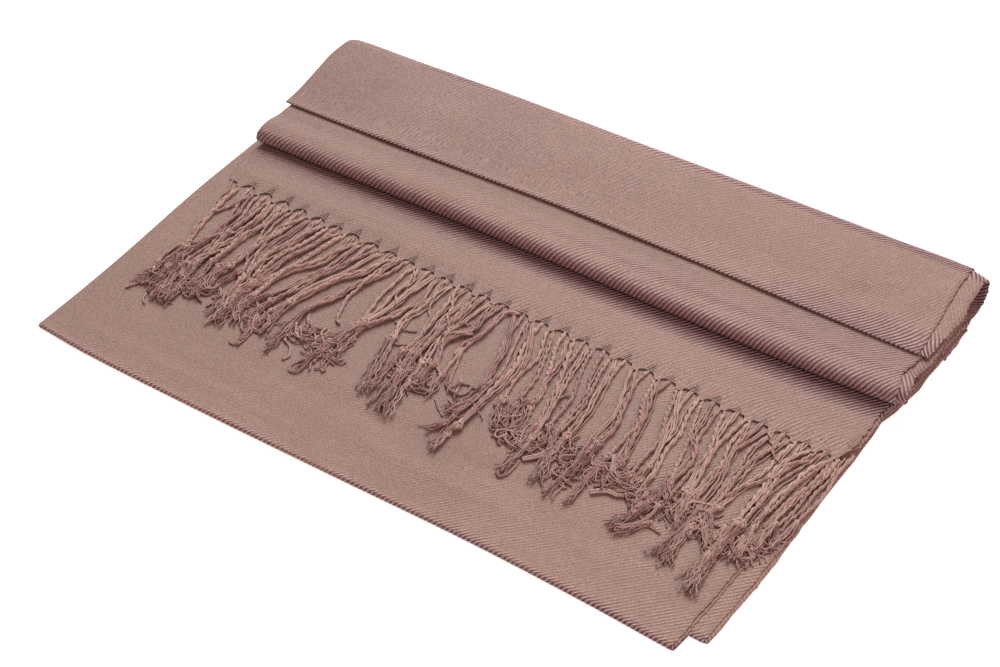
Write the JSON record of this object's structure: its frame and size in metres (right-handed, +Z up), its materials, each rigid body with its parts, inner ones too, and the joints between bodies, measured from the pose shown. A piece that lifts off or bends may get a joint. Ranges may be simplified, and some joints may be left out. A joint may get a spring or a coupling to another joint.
{
  "type": "pashmina shawl",
  "caption": "Twill-woven shawl folded flat in layers, its twisted-cord fringe laid forward over the front panel.",
  "frame": {"origin": "middle of the folded shawl's underside, on the table", "axes": "+X across the folded strip, from its fold towards its selvedges, +Y from the front fold towards the back fold, +Z up"},
  "size_m": [0.3592, 0.271, 0.0186],
  "materials": {
    "twill_cloth": "2/2 twill in viscose and fine wool, matt with a satin sheen on the folds",
    "fringe_cord": "two-ply twisted yarn cords with loose tufts at their tips"
  },
  "bodies": {
    "root": {"front_fold": "twill_cloth", "nested_fold": "twill_cloth", "fringed_end": "twill_cloth", "middle_fold": "twill_cloth", "top_fold": "twill_cloth", "inner_layers": "twill_cloth", "fringe_upper": "fringe_cord", "fringe_under": "fringe_cord"}
  },
  "joints": []
}
